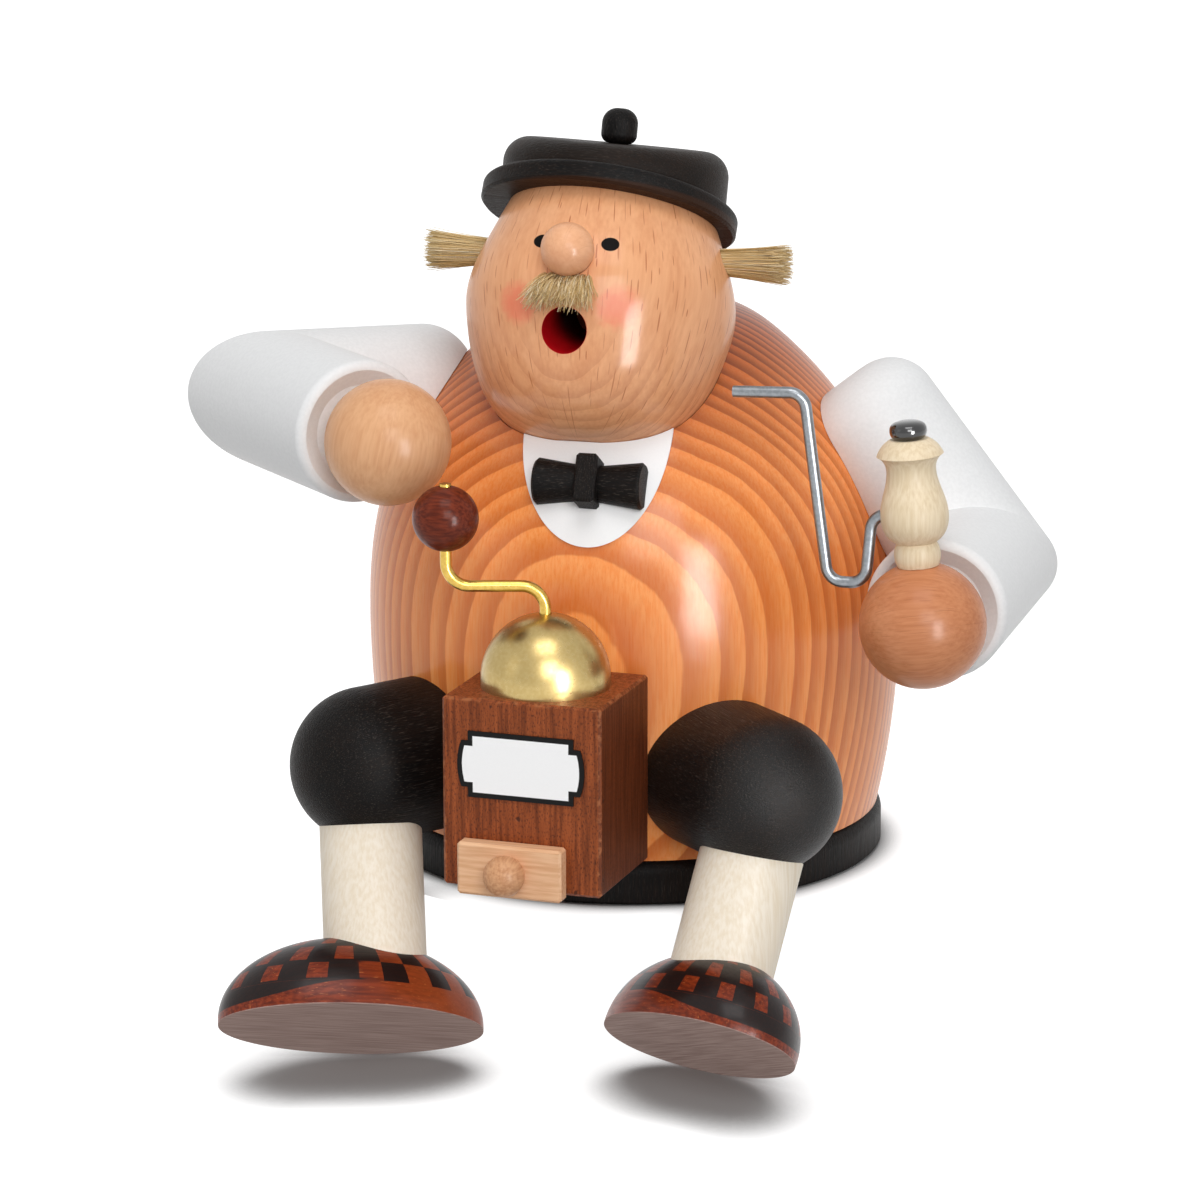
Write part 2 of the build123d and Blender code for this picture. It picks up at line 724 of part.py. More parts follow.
# Coffee grinder
label_plane = Plane(grinder_face + up * label_height, x_dir=grinder_side, z_dir=-grinder_back)
drawer_middle = grinder_face + grinder_side * drawer_shift + up * (grinder_bottom - drawer_hang + drawer_tall / 2)
drawer_plane = Plane(drawer_middle, x_dir=grinder_side, z_dir=-grinder_back)
drawer_face = drawer_plane.offset(drawer_thickness)

with BuildPart() as grinder_box:
    with BuildSketch(Plane(grinder_centre + up * grinder_bottom, x_dir=grinder_side, z_dir=up)):
        Rectangle(grinder_width, grinder_depth)
    extrude(amount=grinder_height)
    chamfer(grinder_box.edges(), length=edge_break)
    turn_body(glue_gap, Mode.SUBTRACT)
    dowel_hole(grinder_pin, -grinder_pin_along, grinder_dowel_length)
keep(grinder_box, "grinder_box")

with BuildPart() as grinder_dowel:
    glue_dowel(grinder_pin, grinder_pin_along, grinder_dowel_length)
keep(grinder_dowel, "grinder_dowel")

with BuildPart() as grinder_dome:
    peg(grinder_centre + up * grinder_top, up, dome_straight, dome_radius)
    with Locations(grinder_centre + up * (grinder_top + dome_straight)):
        Sphere(dome_radius, arc_size1=0, align=(Align.CENTER, Align.CENTER, Align.MIN))
    bore(dome_top, -up, crank_depth + hole_end_gap, wire_radius + crank_gap)
keep(grinder_dome, "grinder_dome")

with BuildPart() as grinder_label:
    with BuildSketch(label_plane):
        end = label_width / 2 - label_bulge
        shelf = end - label_step
        top = label_tall / 2
        step = top - label_notch
        with BuildLine():
            Polyline((end, step), (shelf, step), (shelf, top), (-shelf, top), (-shelf, step), (-end, step))
            ThreePointArc((-end, step), (-end - label_bulge, 0), (-end, -step))
            Polyline((-end, -step), (-shelf, -step), (-shelf, -top), (shelf, -top), (shelf, -step), (end, -step))
            ThreePointArc((end, -step), (end + label_bulge, 0), (end, step))
        make_face()
    extrude(amount=label_thickness)
keep(grinder_label, "grinder_label")

with BuildPart() as drawer_front:
    with BuildSketch(drawer_plane):
        Rectangle(drawer_width, drawer_tall)
    extrude(amount=drawer_thickness)
    chamfer(drawer_front.edges(), length=edge_break)
    bore(drawer_face.origin, grinder_back, drawer_peg_length + hole_end_gap, drawer_peg_radius + dowel_gap)
keep(drawer_front, "drawer_front")

with BuildPart() as drawer_knob:
    with Locations(drawer_face.origin - grinder_back * drawer_knob_stand):
        Sphere(drawer_knob_radius)
    split(bisect_by=drawer_face, keep=Keep.TOP)
    peg(drawer_face.origin - grinder_back * drawer_knob_stand, grinder_back, drawer_knob_stand + drawer_peg_length,
        drawer_peg_radius)
keep(drawer_knob, "drawer_knob")

# Crank: a bent wire that turns in the dome, with a bead for the hand
crank_out = Vector(cos(radians(crank_angle)), sin(radians(crank_angle)), 0)
crank_plane = Plane(dome_top, x_dir=crank_out, z_dir=crank_out.cross(up))
crank_knob_middle = dome_top + crank_out * crank_throw + up * (crank_rise + crank_post)
crank_end = crank_rise + crank_post + crank_knob_radius + crank_tip

with BuildPart() as grinder_crank:
    wire(crank_plane, [(0, -crank_depth), (0, crank_rise), (crank_throw, crank_rise), (crank_throw, crank_end)],
         crank_bend)
keep(grinder_crank, "grinder_crank")

with BuildPart() as crank_knob:
    with Locations(crank_knob_middle):
        Sphere(crank_knob_radius)
    bore(crank_knob_middle - up * crank_knob_radius, up, crank_knob_radius * 2, wire_radius + dowel_gap)
keep(crank_knob, "crank_knob")

# Legs and shoes
for side, (out, down, under, toe_along, knee, hip, shin_top, shin_end, shoe_middle) in legs.items():
    with BuildPart() as thigh:
        thigh_length = knee_reach - chamber_radius
        peg(knee - out * thigh_length, out, thigh_length, thigh_radius)
        with Locations(knee):
            Sphere(thigh_radius)
        turn_body(glue_gap, Mode.SUBTRACT)
        dowel_hole(hip, out, hip_dowel_length)
        bore(shin_end, -down, (shin_end - shin_top).length, shin_radius + dowel_gap)
        bore(shin_top, -down, shin_tenon_length + hole_end_gap, shin_tenon_radius + dowel_gap)
    keep(thigh, f"{side}_thigh")

    with BuildPart() as hip_dowel:
        glue_dowel(hip, out, hip_dowel_length)
    keep(hip_dowel, f"{side}_hip_dowel")

    with BuildPart() as shin:
        peg(shin_top, down, (shin_end - shin_top).length, shin_radius)
        peg(shin_top, -down, shin_tenon_length, shin_tenon_radius)
    keep(shin, f"{side}_shin")

    with BuildPart() as shoe:
        with BuildSketch(Plane(shoe_middle, x_dir=toe_along, z_dir=toe_along.cross(-under))):
            with BuildLine():
                EllipticalCenterArc((0, 0), shoe_length / 2, shoe_radius, start_angle=180, arc_size=180)
                Line((-shoe_length / 2, 0), (shoe_length / 2, 0))
            make_face()
        revolve(axis=Axis(shoe_middle, toe_along))
        split(bisect_by=Plane(shoe_middle + under * shoe_axis_height, z_dir=-under), keep=Keep.TOP)
        bore(shin_end, -down, (shin_end - shin_top).length, shin_radius + dowel_gap)
    keep(shoe, f"{side}_shoe")
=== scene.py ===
import math

import bpy
import numpy as np
from mathutils import Matrix, Vector


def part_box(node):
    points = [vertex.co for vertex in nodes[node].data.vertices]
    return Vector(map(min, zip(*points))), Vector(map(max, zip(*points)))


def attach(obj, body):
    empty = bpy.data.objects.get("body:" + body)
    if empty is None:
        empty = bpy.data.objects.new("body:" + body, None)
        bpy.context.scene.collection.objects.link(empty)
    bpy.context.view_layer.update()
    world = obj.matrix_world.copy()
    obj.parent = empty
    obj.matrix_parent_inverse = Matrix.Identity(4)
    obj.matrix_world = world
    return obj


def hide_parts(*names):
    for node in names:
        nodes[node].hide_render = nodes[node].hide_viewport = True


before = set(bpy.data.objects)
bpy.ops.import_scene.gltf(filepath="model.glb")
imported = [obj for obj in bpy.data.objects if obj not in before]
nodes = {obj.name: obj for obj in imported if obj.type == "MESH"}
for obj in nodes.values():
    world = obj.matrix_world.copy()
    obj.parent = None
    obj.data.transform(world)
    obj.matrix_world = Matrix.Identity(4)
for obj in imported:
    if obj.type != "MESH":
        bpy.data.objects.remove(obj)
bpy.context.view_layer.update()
scene = bpy.context.scene
metre = 0.001  # a millimetre in metres


# An sRGB colour as the linear colour of a socket
def colour(red, green, blue):
    shown = np.array([red, green, blue]) / 255
    linear = np.where(shown > 0.04045, ((shown + 0.055) / 1.055) ** 2.4, shown / 12.92)
    return (*linear.tolist(), 1.0)


# One output of a shader tree; arithmetic on it adds Math nodes
class Value:
    def __init__(self, tree, socket):
        self.tree = tree
        self.socket = socket

    def make(self, kind, feeds, output=0, **settings):
        node = self.tree.nodes.new(kind)
        for name, setting in settings.items():
            setattr(node, name, setting)
        for place, feed in feeds.items():
            if isinstance(feed, Value):
                self.tree.links.new(feed.socket, node.inputs[place])
            else:
                node.inputs[place].default_value = feed
        return Value(self.tree, node.outputs[output])

    def work(self, operation, *feeds):
        return self.make("ShaderNodeMath", dict(enumerate(feeds)), operation=operation)

    def __add__(self, other):
        return self.work("ADD", self, other)

    def __radd__(self, other):
        return self.work("ADD", other, self)

    def __sub__(self, other):
        return self.work("SUBTRACT", self, other)

    def __rsub__(self, other):
        return self.work("SUBTRACT", other, self)

    def __mul__(self, other):
        return self.work("MULTIPLY", self, other)

    def __rmul__(self, other):
        return self.work("MULTIPLY", other, self)

    def __truediv__(self, other):
        return self.work("DIVIDE", self, other)

    def __neg__(self):
        return self.work("MULTIPLY", self, -1.0)

    def __abs__(self):
        return self.work("ABSOLUTE", self)

    # 0 below low, 1 above high, smooth between; low may be the larger one
    def step(self, low, high):
        feeds = {0: self, 1: low, 2: high}
        return self.make("ShaderNodeMapRange", feeds, interpolation_type="SMOOTHSTEP")

    # first where this value is 0, second where it is 1
    def mix(self, first, second):
        return self.make("ShaderNodeMix", {0: self, 6: first, 7: second}, 2, data_type="RGBA")

    def noise(self, y, z, detail=2.0, roughness=0.5):
        point = self.make("ShaderNodeCombineXYZ", {0: self, 1: y, 2: z})
        feeds = {"Vector": point, "Scale": 1.0, "Detail": detail, "Roughness": roughness}
        return self.make("ShaderNodeTexNoise", feeds)

    def fract(self):
        return self.work("FRACT", self)

    def floor(self):
        return self.work("FLOOR", self)

    def root(self):
        return self.work("SQRT", self)

    def log(self):
        return self.work("LOGARITHM", self, math.e)

    def most(self, other):
        return self.work("MAXIMUM", self, other)

    def axes(self):
        node = self.tree.nodes.new("ShaderNodeSeparateXYZ")
        self.tree.links.new(self.socket, node.inputs[0])
        return [Value(self.tree, output) for output in node.outputs]


# A material with one Principled shader; x, y and z are the part's millimetres
class Finish:
    def __init__(self, name, **constants):
        self.material = bpy.data.materials.new(name)
        self.material.use_nodes = True
        self.tree = self.material.node_tree
        self.tree.nodes.clear()
        self.shader = self.tree.nodes.new("ShaderNodeBsdfPrincipled")
        output = self.tree.nodes.new("ShaderNodeOutputMaterial")
        self.tree.links.new(self.shader.outputs[0], output.inputs[0])
        place = Value(self.tree, self.tree.nodes.new("ShaderNodeTexCoord").outputs["Object"])
        self.x, self.y, self.z = [axis * 1000.0 for axis in place.axes()]
        for socket, constant in constants.items():
            self.give(socket.replace("_", " "), constant)

    def give(self, socket, feed):
        if isinstance(feed, Value):
            self.tree.links.new(feed.socket, self.shader.inputs[socket])
        else:
            self.shader.inputs[socket].default_value = feed

    # height in millimetres
    def bump(self, height, strength=1.0):
        feeds = {"Height": height, "Distance": metre, "Strength": strength}
        self.give("Normal", self.x.make("ShaderNodeBump", feeds))

    # coordinates along given directions from a given point, in millimetres
    def local(self, origin, *directions):
        shifted = (self.x - origin[0], self.y - origin[1], self.z - origin[2])
        return [sumOf(shifted, direction) for direction in directions]

    # even noise, with so many marks a millimetre
    def mottle(self, fine, detail=2.0):
        return (self.x * fine).noise(self.y * fine, self.z * fine, detail)

    def attribute(self, name):
        return self.x.make("ShaderNodeAttribute", {}, "Fac", attribute_name=name)

    def dress(self, *names):
        for name in names:
            nodes[name].data.materials.clear()
            nodes[name].data.materials.append(self.material)


def sumOf(values, weights):
    total = None
    for value, weight in zip(values, weights):
        if abs(weight) < 1e-6:
            continue
        term = value * float(weight)
        total = term if total is None else total + term
    return total


# Wood noise: so many marks a millimetre across the grain, which runs along w, and so many along it
def grain(u, v, w, across, along, detail=2.0, roughness=0.5):
    return (u * across).noise(v * across, w * along, detail, roughness)


def unit(*vector):
    vector = np.array(vector, float)
    return vector / np.linalg.norm(vector)


# Camera: turned to the figure's left and raised, in degrees; it looks at a point left of
# the part's origin and above it, in metres
view = {"turn": 15.0, "lift": 16.5, "distance": 1.0, "aimLeft": 0.007, "aimUp": 0.0464,
        "lens": 150, "sensor": 36, "nearest": 0.05}
viewTurn, viewLift = math.radians(view["turn"]), math.radians(view["lift"])
level = np.array([math.sin(viewTurn), -math.cos(viewTurn), 0.0])
right = np.array([math.cos(viewTurn), math.sin(viewTurn), 0.0])
backward = level * math.cos(viewLift) + (0.0, 0.0, math.sin(viewLift))
upward = np.cross(backward, right)
camera = bpy.data.objects.new("camera", bpy.data.cameras.new("camera"))
scene.collection.objects.link(camera)
camera.data.lens = view["lens"]
camera.data.sensor_width = view["sensor"]
camera.data.clip_start = view["nearest"]
cameraPlace = backward * view["distance"]
cameraBack = unit(*(cameraPlace + view["aimLeft"] * right - view["aimUp"] * upward))
cameraRight = unit(*np.cross(upward, cameraBack))
cameraUp = np.cross(cameraBack, cameraRight)
turned = Matrix(np.column_stack([cameraRight, cameraUp, cameraBack]).tolist()).to_4x4()
camera.matrix_world = Matrix.Translation(Vector(cameraPlace)) @ turned
scene.camera = camera

# Light: a world that looks white and lights the part by skyLevel, and four area lamps
scene.view_settings.view_transform = "Standard"
world = bpy.data.worlds.new("studio")
scene.world = world
world.use_nodes = True
sky = world.node_tree
rays = sky.nodes.new("ShaderNodeLightPath")
seen = Value(sky, rays.outputs["Is Camera Ray"])
for kind in ("Is Glossy Ray", "Is Transmission Ray"):
    seen = seen.most(Value(sky, rays.outputs[kind]))
skyLevel = 0.47
strength = skyLevel + seen * (1.0 - skyLevel)
sky.nodes["Background"].inputs["Color"].default_value = (1.0, 1.0, 1.0, 1.0)
sky.links.new(strength.socket, sky.nodes["Background"].inputs["Strength"])
aim = Vector((0.0, -0.02, 0.06))


# A lamp that is shineOnly shows in reflections and lights nothing else
def softbox(name, azimuth, elevation, distance, width, height, power, shineOnly=False):
    lamp = bpy.data.lights.new(name, "AREA")
    lamp.shape = "RECTANGLE"
    lamp.size = width
    lamp.size_y = height
    lamp.energy = power
    holder = bpy.data.objects.new(name, lamp)
    scene.collection.objects.link(holder)
    turn, lift = math.radians(azimuth), math.radians(elevation)
    toward = Vector((math.sin(turn) * math.cos(lift), -math.cos(turn) * math.cos(lift), math.sin(lift)))
    holder.location = aim + toward * distance
    holder.rotation_euler = toward.to_track_quat("Z", "Y").to_euler()
    holder.visible_diffuse = not shineOnly


lamps = {
    "shineLight": {"azimuth": 43, "elevation": -3, "distance": 0.55, "width": 0.13, "height": 0.4,
                   "power": 4.0, "shineOnly": True},
    "keyLight": {"azimuth": 24, "elevation": 26, "distance": 1.2, "width": 0.5, "height": 0.5,
                 "power": 5.4},
    "topLight": {"azimuth": 15, "elevation": 66, "distance": 1.3, "width": 0.7, "height": 0.6,
                 "power": 4.8},
    "fillLight": {"azimuth": -50, "elevation": 20, "distance": 1.5, "width": 0.5, "height": 0.8,
                  "power": 0.5},
}
for name, lamp in lamps.items():
    softbox(name, **lamp)

# Floor: a white sheet under the shoes, and a white round seat under the base, in metres
sheet = {"grey": 0.4, "closed": 0.42, "open": 0.97, "samples": 16, "spokes": 96, "rings": 6, "hub": 0.02}
discs = {"seatDisc": {"radius": 0.058, "height": -0.0002, "reach": 0.009},
         "floorDisc": {"radius": 5.0, "height": -0.0309, "reach": 0.02}}


# The sheet glows white, and what stands within reach of a point of the sheet darkens that point's glow: a
# painted shadow
def whiteSheet(name, reach):
    paper = Finish(name, Base_Color=(sheet["grey"], sheet["grey"], sheet["grey"], 1.0), Roughness=1.0,
                   Specular_IOR_Level=0.0, Emission_Strength=1.0)
    openness = paper.x.make("ShaderNodeAmbientOcclusion", {"Distance": reach}, "AO",
                            samples=sheet["samples"])
    glow = openness.step(sheet["closed"], sheet["open"]).mix((0.0, 0.0, 0.0, 1.0), (1.0, 1.0, 1.0, 1.0))
    paper.give("Emission Color", glow)
    return paper.material


# A flat disc of quads round a small hub: angle along one grid direction, radius along the other
def flatDisc(name, radius, height, reach):
    angles = np.linspace(0.0, 2 * math.pi, sheet["spokes"] + 1)[:-1]
    turn, far = np.meshgrid(angles, np.linspace(sheet["hub"], 1.0, sheet["rings"]) * radius)
    points = np.stack([far * np.cos(turn), far * np.sin(turn), np.full(turn.shape, height)], axis=-1)
    number = np.arange(turn.size).reshape(turn.shape)
    after = np.roll(number, -1, axis=1)
    faces = np.stack([number[:-1], number[1:], after[1:], after[:-1]], axis=-1).reshape(-1, 4).tolist()
    mesh = bpy.data.meshes.new(name)
    mesh.from_pydata(points.reshape(-1, 3).tolist(), [], faces + [number[0].tolist()])
    disc = bpy.data.objects.new(name, mesh)
    scene.collection.objects.link(disc)
    disc.data.materials.append(whiteSheet(name, reach))
    disc.visible_diffuse = False


for name, disc in discs.items():
    flatDisc(name, **disc)
print("stage ready")

# Body: pine with the pith far behind, so the rings close round the belly; darker and redder towards the
# top, near the head
pine = {"pithX": -8.7, "pithY": 100.0, "bark": 152.8, "ring": 2.5, "crowding": 0.6, "uneven": 1.2,
        "firstRing": 0.35, "sway": 2.4, "waver": 0.35, "lateLeast": 0.42, "latePatch": 0.4,
        "hairShare": 0.2, "shoulderLow": 74.0, "shoulderHigh": 106.0, "shoulderShare": 0.85,
        "light": colour(255, 168, 98), "middle": colour(250, 148, 74), "dark": colour(194, 88, 32),
        "top": colour(180, 84, 34), "topLine": colour(104, 44, 18)}
finish = Finish("orangePine", Coat_Weight=0.55, Coat_Roughness=0.2, Specular_IOR_Level=0.02)
x, y, z = finish.x, finish.y, finish.z
ringX, ringY = x - pine["pithX"], y - pine["pithY"]
sway = (grain(x, y, z, 1 / 34, 1 / 60, 1.0) - 0.5) * pine["sway"]
waver = (grain(x, y, z, 1 / 5, 1 / 11) - 0.5) * pine["waver"]
depth = pine["bark"] - (ringX * ringX + ringY * ringY).root() + sway + waver
years = depth / pine["ring"] + (1.0 + depth.most(0.0) / 2.0).log() * pine["crowding"]
years = years + ((depth / 5.0).noise(0.3, z / 300.0, 1.0) - 0.5) * pine["uneven"]
phase = (pine["firstRing"] - years).fract()
late = phase.step(0.05, 0.92) * phase.step(1.0, 0.93)
fibre = grain(x, y, z, 2.4, 0.11, 3.0)
hair = grain(x, y, z, 7.0, 0.22)
patch = grain(x, y, z, 1 / 16, 1 / 30)
base = fibre.step(0.3, 0.75).mix(pine["light"], pine["middle"])
base = (late * (pine["lateLeast"] + patch * pine["latePatch"])).mix(base, pine["dark"])
base = (hair.step(0.56, 0.75) * pine["hairShare"]).mix(base, pine["dark"])
shoulder = z.step(pine["shoulderLow"], pine["shoulderHigh"]) * pine["shoulderShare"]
topTone = late.mix(pine["top"], pine["topLine"])
base = shoulder.mix(base, topTone)
finish.give("Base Color", base)
finish.give("Roughness", 0.34 + fibre * 0.2)
finish.bump(late * 0.03 + fibre * 0.05 + hair * 0.03, 0.6)
finish.dress("body")

# Head and nose: beech with dark flecks along the head's axis, which leans back
headCentre = np.array([0.0, -25.5, 109.5])
headTilt = math.radians(27.0)
headUp = np.array([0.0, math.sin(headTilt), math.cos(headTilt)])
headBack = np.array([0.0, math.cos(headTilt), -math.sin(headTilt)])
sideways = np.array([1.0, 0.0, 0.0])
fleckSizes = {"radius": 25.0, "apart": 2.4, "tall": 6.0, "lean": 0.07, "halfLength": 0.7, "longer": 1.9,
              "halfWidth": 0.09, "wider": 0.08}


# Dark ray flecks: short upright strokes, one to a cell, round an axis along w
def flecks(u, v, w):
    around = u.work("ARCTAN2", u, -v) * fleckSizes["radius"]
    cell = u.make("ShaderNodeCombineXYZ", {0: around / fleckSizes["apart"], 1: w / fleckSizes["tall"]})
    feeds = {"Vector": cell, "Scale": 1.0}
    place = u.make("ShaderNodeTexVoronoi", feeds, "Position", voronoi_dimensions="2D").axes()
    chance = u.make("ShaderNodeTexVoronoi", feeds, "Color", voronoi_dimensions="2D").axes()
    above = w - place[1] * fleckSizes["tall"]
    aside = (around - place[0] * fleckSizes["apart"]) + above * fleckSizes["lean"]
    long = above / (fleckSizes["halfLength"] + chance[0] * fleckSizes["longer"])
    wide = aside / (fleckSizes["halfWidth"] + chance[1] * fleckSizes["wider"])
    return (wide * wide + long * long).step(1.3, 0.5) * (0.4 + chance[2] * 0.6)


# Beech seen in coordinates u and v across the grain and w along it
def beech(finish, u, v, w, tones):
    band = grain(u, v, w, 1 / 5, 1 / 60, 3.0)
    streak = grain(u, v, w, 1.6, 0.05, 3.0)
    dash = flecks(u, v, w)
    tone = (band * 0.6 + streak * 0.5).step(0.3, 0.85).mix(tones["light"], tones["dark"])
    finish.give("Roughness", 0.3 + streak * 0.18)
    finish.bump(dash * -0.02 + streak * 0.02, 0.5)
    return (dash * tones["flecked"]).mix(tone, tones["fleck"])


faceTones = {"light": colour(238, 176, 130), "dark": colour(220, 152, 106), "fleck": colour(180, 104, 64),
             "flecked": 0.85, "blush": colour(236, 110, 84), "eye": colour(14, 12, 12),
             "mouth": colour(196, 16, 26), "mouthShade": colour(70, 4, 8)}
# Rings, chin, cheeks and eyes are measured from the head's centre, the rest from the part's origin;
# spots end at squares of their radius or half sizes
face = {"pithAhead": 60.0, "ring": 2.6, "chinTop": -2.0, "chinLow": -20.0, "chinShare": 0.28,
        "frontStart": -18.0, "frontEnd": -24.0,
        "cheekX": 9.6, "cheekY": -22.2, "cheekZ": 5.9, "cheekFull": 6.0, "cheekEnd": 30.0,
        "cheekRough": 14.0, "blush": 0.62,
        "eyeX": 6.5, "eyeShift": 0.3, "eyeY": -17.4, "eyeZ": 16.7, "eyeWide": 2.9, "eyeTall": 1.75,
        "mouthZ": 111.2, "mouthFull": 18.7, "mouthEnd": 19.2, "lipStart": -19.0, "lipEnd": -20.0,
        "throatStart": -46.0, "throatEnd": -34.0, "coat": 0.38}
finish = Finish("headBeech", Coat_Roughness=0.16, Specular_IOR_Level=0.05)
u, v, w = finish.local(headCentre, sideways, headBack, headUp)
base = beech(finish, u, v, w, faceTones)
ringAcross = v + face["pithAhead"]
arc = (u * u + ringAcross * ringAcross).root()
arc = arc / face["ring"] + grain(u, v, w, 1 / 9, 1 / 30) * 1.2
arc = arc.fract().step(0.3, 0.95)
chin = w.step(face["chinTop"], face["chinLow"])
base = (arc * chin * face["chinShare"]).mix(base, faceTones["fleck"])
front = finish.y.step(face["frontStart"], face["frontEnd"])
for sign in (-1, 1):
    cheekPlace = headCentre + (sign * face["cheekX"], face["cheekY"], face["cheekZ"])
    cheek = finish.local(cheekPlace, (1, 0, 0), (0, 0, 1))
    reach = cheek[0] * cheek[0] + cheek[1] * cheek[1]
    reach = reach + finish.mottle(0.9) * face["cheekRough"]
    rouge = reach.step(face["cheekEnd"], face["cheekFull"]) * front * face["blush"]
    base = rouge.mix(base, faceTones["blush"])
    eyePlace = headCentre + (sign * face["eyeX"] + face["eyeShift"], face["eyeY"], face["eyeZ"])
    eye = finish.local(eyePlace, right, upward)
    spot = eye[0] * eye[0] / face["eyeWide"] + eye[1] * eye[1] / face["eyeTall"]
    spot = spot.step(1.08, 0.92) * front
    base = spot.mix(base, faceTones["eye"])
    painted = spot if sign < 0 else painted.most(spot)
lip = finish.local((0.0, 0.0, face["mouthZ"]), (1, 0, 0), (0, 0, 1))
lipReach = lip[0] * lip[0] + lip[1] * lip[1]
inside = lipReach.step(face["mouthEnd"], face["mouthFull"])
inside = inside * finish.y.step(face["lipStart"], face["lipEnd"])
# painted shade: the mouth's red darkens deeper inside its bore
throatShade = finish.y.step(face["throatStart"], face["throatEnd"])
base = inside.mix(base, throatShade.mix(faceTones["mouth"], faceTones["mouthShade"]))
finish.give("Base Color", base)
finish.give("Coat Weight", face["coat"] - painted * face["coat"])
finish.dress("head")

noseTones = {"light": colour(240, 182, 140), "dark": colour(226, 160, 118), "fleck": colour(186, 116, 80),
             "flecked": 0.3}
finish = Finish("noseBeech", Coat_Weight=0.25, Coat_Roughness=0.2, Specular_IOR_Level=0.1)
u, v, w = finish.local(headCentre, sideways, headUp, headBack)
finish.give("Base Color", beech(finish, u, v, w, noseTones))
finish.dress("nose")

# Hands: beech balls, each with its own line of grain
handTones = {
    "right_hand": {"grain": unit(0.2, 0.1, 1.0), "light": colour(230, 178, 134),
                   "dark": colour(212, 152, 108), "fleck": colour(180, 116, 76), "flecked": 0.2},
    "left_hand": {"grain": unit(1.0, 0.1, 0.1), "light": colour(208, 140, 98),
                  "dark": colour(184, 112, 72), "fleck": colour(140, 76, 46), "flecked": 0.35},
}
slantLine = (0.3, 1.0, 0.2)  # any line that isn't along the grain
for name, tones in handTones.items():
    low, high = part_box(name)
    middle = np.array((low + high) / 2) * 1000
    acrossOne = unit(*np.cross(tones["grain"], slantLine))
    acrossTwo = np.cross(tones["grain"], acrossOne)
    finish = Finish(name, Coat_Weight=0.18, Coat_Roughness=0.22, Specular_IOR_Level=0.1)
    u, v, w = finish.local(middle, acrossOne, acrossTwo, tones["grain"])
    finish.give("Base Color", beech(finish, u, v, w, tones))
    finish.dress(name)
print("body and head dressed")

# Black stain over open grain: brown shows where it is thin, grey marks where it is worn; the grey marks
# also stand for the stain's glints, a painted highlight
stain = {"black": colour(14, 13, 13), "crown": colour(26, 21, 18), "brown": colour(46, 30, 20),
         "under": colour(48, 28, 16), "worn": colour(112, 102, 94),
         "brimUnder": 19.3, "brimSide": 19.9, "hipNear": 50.0, "hipFar": 66.0, "hipShare": 0.5}


def blackStain(finish, u, v, w, tone, brownShare, wearAndGlint):
    fibre = grain(u, v, w, 2.6, 0.16, 3.0)
    scratchAndGlint = grain(u, v, w, 6.0, 0.5)
    cloud = grain(u, v, w, 1 / 7, 1 / 14)
    thin = (fibre * 0.6 + cloud * 0.5).step(0.42, 0.78) * brownShare
    base = thin.mix(stain[tone], stain["brown"])
    # painted highlight: the grey scratch marks are wear and also painted glints on the black stain
    base = (scratchAndGlint.step(0.56, 0.72) * wearAndGlint).mix(base, stain["worn"])
    finish.give("Roughness", 0.3 + fibre * 0.3)
    finish.bump(fibre * 0.16 + scratchAndGlint * 0.1, 0.9)
    return base


# Two directions across the grain and one along it, tone, share of brown, wear with painted glints, shine
stained = {
    "base_plate": ((1, 0, 0), (0, 1, 0), (0, 0, 1), "black", 0.3, 0.1, 0.08),
    "hat_brim": (headBack, headUp, sideways, "black", 0.35, 0.18, 0.08),
    "hat_crown": (headBack, headUp, sideways, "crown", 0.4, 0.16, 0.08),
    "hat_knob": ((1, 0, 0), (0, 1, 0), (0, 0, 1), "black", 0.25, 0.2, 0.08),
    "bow_tie": ((0, 1, 0), (0, 0, 1), (1, 0, 0), "black", 0.2, 0.24, 0.08),
    "bow_tie_knot": ((0, 1, 0), (1, 0, 0), (0, 0, 1), "black", 0.2, 0.24, 0.08),
    "right_thigh": ((0.8, -0.6, 0), (0, 0, 1), (-0.6, -0.8, 0), "black", 0.25, 0.26, 0.08),
    "left_thigh": ((0.8, 0.6, 0), (0, 0, 1), (0.6, -0.8, 0), "black", 0.3, 0.3, 0.2),
}
for name, (first, second, third, tone, brownShare, wearAndGlint, shine) in stained.items():
    finish = Finish(name, Specular_IOR_Level=shine)
    u, v, w = finish.local((0.0, 0.0, 0.0), first, second, third)
    base = blackStain(finish, u, v, w, tone, brownShare, wearAndGlint)
    if name == "hat_brim":
        height = finish.local(headCentre, headUp)[0]
        base = height.step(stain["brimSide"], stain["brimUnder"]).mix(base, stain["under"])
    if name.endswith("thigh"):
        reach = (finish.x * finish.x + finish.y * finish.y).root()
        hip = reach.step(stain["hipFar"], stain["hipNear"]) * stain["hipShare"]
        base = hip.mix(base, stain["brown"])
    finish.give("Base Color", base)
    finish.dress(name)
print("black stain dressed")

# White paint on the sleeves
sleeve = {"dark": (0.8, 0.805, 0.81, 1.0), "light": (0.84, 0.845, 0.85, 1.0), "fine": 1.5}
finish = Finish("whitePaint", Specular_IOR_Level=0.15)
speck = finish.mottle(sleeve["fine"], 3.0)
finish.give("Base Color", speck.step(0.3, 0.7).mix(sleeve["dark"], sleeve["light"]))
finish.give("Roughness", 0.36 + speck * 0.12)
finish.bump(speck * 0.02, 0.5)
finish.dress("right_upper_arm", "right_forearm", "left_upper_arm", "left_forearm")


